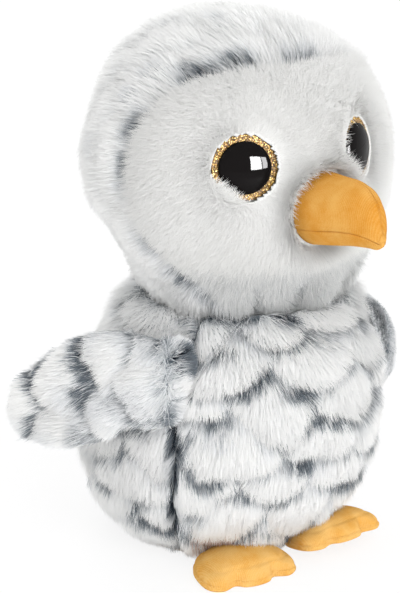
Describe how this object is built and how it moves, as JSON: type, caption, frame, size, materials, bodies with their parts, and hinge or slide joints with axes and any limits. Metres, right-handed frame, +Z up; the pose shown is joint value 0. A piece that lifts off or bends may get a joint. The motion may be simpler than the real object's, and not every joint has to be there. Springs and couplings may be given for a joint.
{
  "type": "plush owl",
  "caption": "Standing stuffed owl with a round head, short orange beak, domed eyes, padded wings in the side seams and three-toed feet.",
  "frame": {"origin": "on the flat face of the base panel that the owl stands on, midway between its two sides", "axes": "+Z up, the owl faces -Y, its own left side is at +X"},
  "size_m": [0.1915, 0.1677, 0.234],
  "materials": {
    "body_fur": "long pile, grey roots and white tips",
    "hood_fur": "long white pile",
    "face_fur": "short white pile",
    "wing_fur": "long pile, grey roots and white tips",
    "base_fabric": "short pile",
    "beak_fabric": "very short orange pile",
    "foot_fabric": "very short orange pile",
    "fibre": "loose polyester fibre",
    "pouch_cloth": "plain woven cloth over pellets",
    "eye_black": "polished",
    "gold_glitter": "gold glitter under a clear coat",
    "white_plastic": "moulded"
  },
  "bodies": {
    "body": {"body_front_panel": "body_fur", "body_back_left_panel": "body_fur", "body_back_right_panel": "body_fur", "base_panel": "base_fabric", "pellet_pouch": "pouch_cloth", "body_filling": "fibre"},
    "head": {"face_panel": "face_fur", "hood_left_panel": "hood_fur", "hood_right_panel": "hood_fur", "head_filling": "fibre", "eye_dome_left": "eye_black", "eye_glitter_disc_left": "gold_glitter", "eye_washer_left": "white_plastic", "eye_dome_right": "eye_black", "eye_glitter_disc_right": "gold_glitter", "eye_washer_right": "white_plastic", "beak_left_panel": "beak_fabric", "beak_right_panel": "beak_fabric", "beak_under_panel": "beak_fabric", "beak_filling": "fibre"},
    "wing_left": {"wing_left_outer_panel": "wing_fur", "wing_left_inner_panel": "wing_fur", "wing_left_filling": "fibre"},
    "wing_right": {"wing_right_outer_panel": "wing_fur", "wing_right_inner_panel": "wing_fur", "wing_right_filling": "fibre"},
    "foot_left": {"foot_left_top_panel": "foot_fabric", "foot_left_sole_panel": "foot_fabric", "foot_left_filling": "fibre"},
    "foot_right": {"foot_right_top_panel": "foot_fabric", "foot_right_sole_panel": "foot_fabric", "foot_right_filling": "fibre"}
  },
  "joints": [
    {"name": "neck_twist", "type": "hinge", "parent": "body", "child": "head", "pos_m": [0, -0.003, 0.118], "axis": [0, 0, 1], "range_deg": [-20, 20], "stiffness_Nm_per_rad": 0.3},
    {"name": "wing_left_flap", "type": "hinge", "parent": "body", "child": "wing_left", "pos_m": [0.05294, -0.03386, 0.09015], "axis": [0.2741, -0.0401, -0.9609], "range_deg": [-4, 60], "stiffness_Nm_per_rad": 0.03},
    {"name": "wing_right_flap", "type": "hinge", "parent": "body", "child": "wing_right", "pos_m": [-0.05294, -0.03386, 0.09015], "axis": [0.2741, 0.0401, 0.9609], "range_deg": [-4, 60], "stiffness_Nm_per_rad": 0.03},
    {"name": "foot_left_bend", "type": "hinge", "parent": "body", "child": "foot_left", "pos_m": [0.02245, -0.02102, 0.00253], "axis": [-0.9962, -0.0872, 0], "range_deg": [-25, 10], "stiffness_Nm_per_rad": 0.03},
    {"name": "foot_right_bend", "type": "hinge", "parent": "body", "child": "foot_right", "pos_m": [-0.0225, -0.0216, 0.0026], "axis": [-0.9945, 0.1045, 0], "range_deg": [-25, 10], "stiffness_Nm_per_rad": 0.03}
  ]
}
